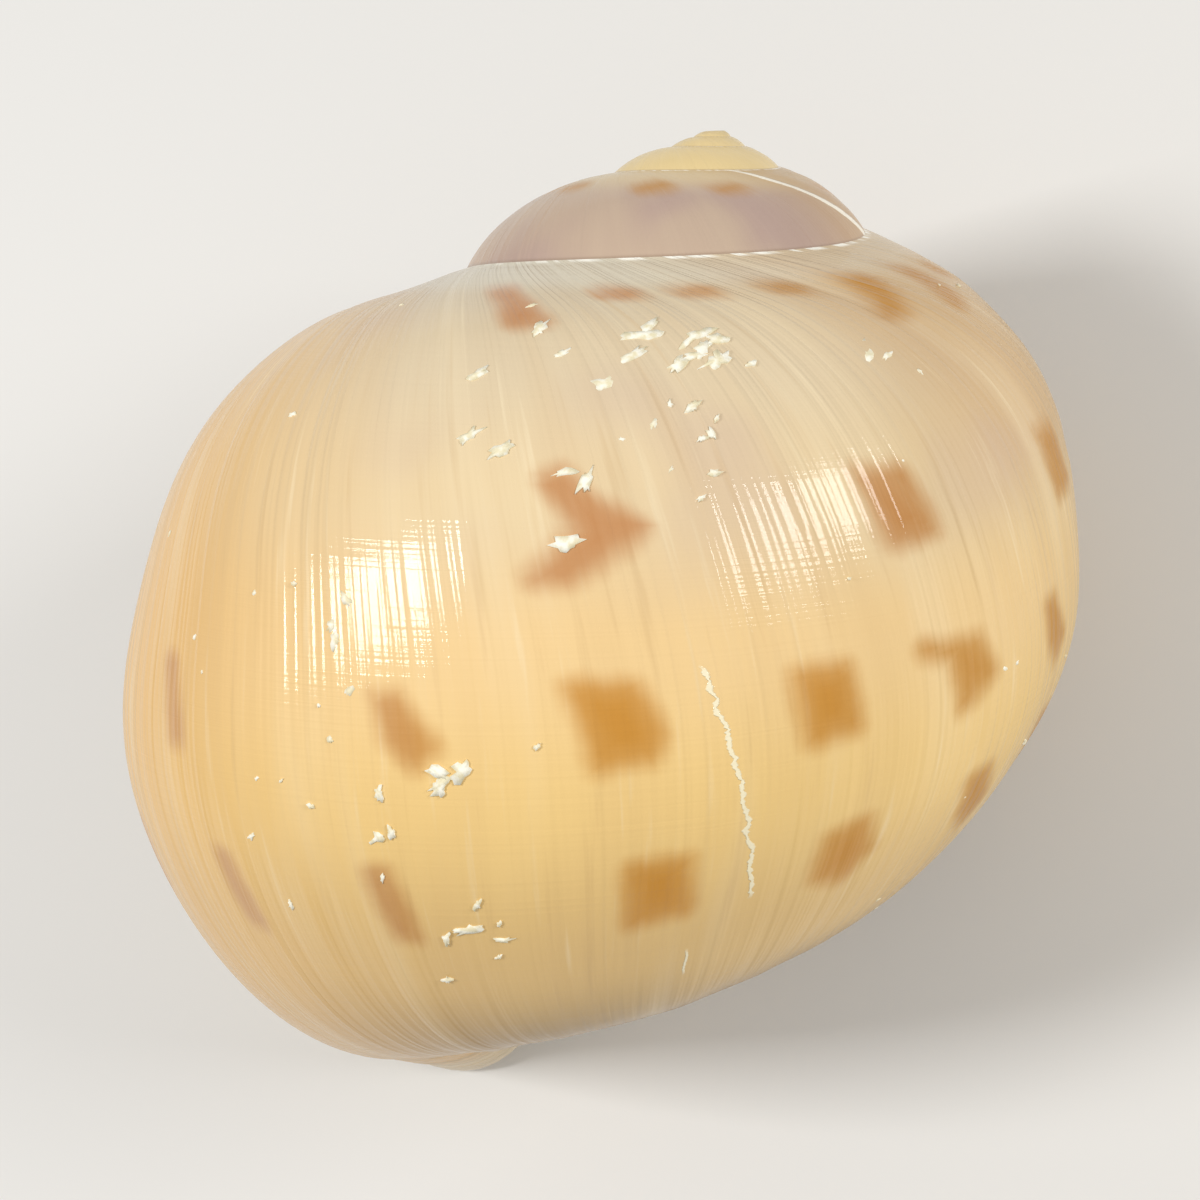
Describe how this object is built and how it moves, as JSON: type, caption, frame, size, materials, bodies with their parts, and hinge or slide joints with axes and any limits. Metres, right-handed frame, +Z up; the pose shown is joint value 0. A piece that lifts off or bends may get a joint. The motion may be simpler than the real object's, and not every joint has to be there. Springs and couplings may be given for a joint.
{
  "type": "moon snail shell",
  "caption": "Globose moon snail shell with a low spire, a half-moon aperture and rows of orange-brown spots on glossy cream.",
  "frame": {"origin": "centre of the shell's footprint box, on the surface that it lies on", "axes": "+Z up, away from the surface; the apex of the spire points towards +Y and a little up; the aperture faces -Z"},
  "size_m": [0.0358, 0.0354, 0.0266],
  "materials": {
    "shell": "glossy natural shell, cream with orange-brown spots"
  },
  "bodies": {
    "root": {"shell": "shell"}
  },
  "joints": []
}
